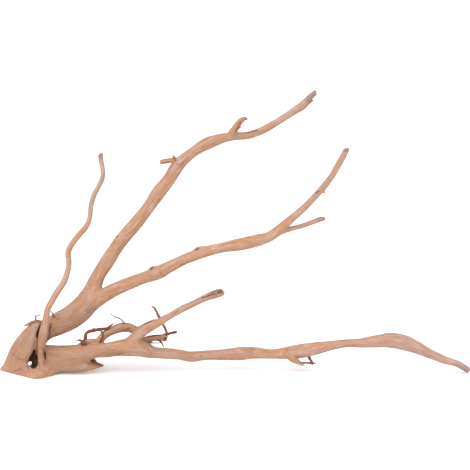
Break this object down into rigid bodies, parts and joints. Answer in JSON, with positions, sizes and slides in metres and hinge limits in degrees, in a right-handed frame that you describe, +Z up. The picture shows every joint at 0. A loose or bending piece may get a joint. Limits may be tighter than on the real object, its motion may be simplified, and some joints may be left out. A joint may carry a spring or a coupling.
{
  "type": "branched bogwood piece",
  "caption": "Branched piece of bare bogwood that stands on its sawn heel and on the tip of a long low branch, as decoration for an aquarium or terrarium.",
  "frame": {"origin": "on the flat underside of the stump's sawn heel, under the fork of the two stems", "axes": "+X along the long low branch towards its tip, +Y away from the viewer of the picture, +Z up"},
  "size_m": [0.6207, 0.1388, 0.3627],
  "materials": {
    "stump": "bare, matt, sawn at the heel",
    "upper_stem": "bare, matt",
    "tall_branch": "bare, matt",
    "middle_branch": "bare, matt",
    "side_twig": "bare, matt",
    "shoot": "bare, matt",
    "lower_stem": "bare, matt",
    "long_branch": "bare, matt",
    "short_branch": "bare, matt",
    "bent_root": "bare, matt",
    "snag": "bare, matt, split and dark"
  },
  "bodies": {
    "root": {"stump": "stump", "upper_stem": "upper_stem", "tall_branch": "tall_branch", "middle_branch": "middle_branch", "side_twig": "side_twig", "shoot": "shoot", "lower_stem": "lower_stem", "long_branch": "long_branch", "short_branch": "short_branch", "bent_root": "bent_root", "snag": "snag"}
  },
  "joints": []
}
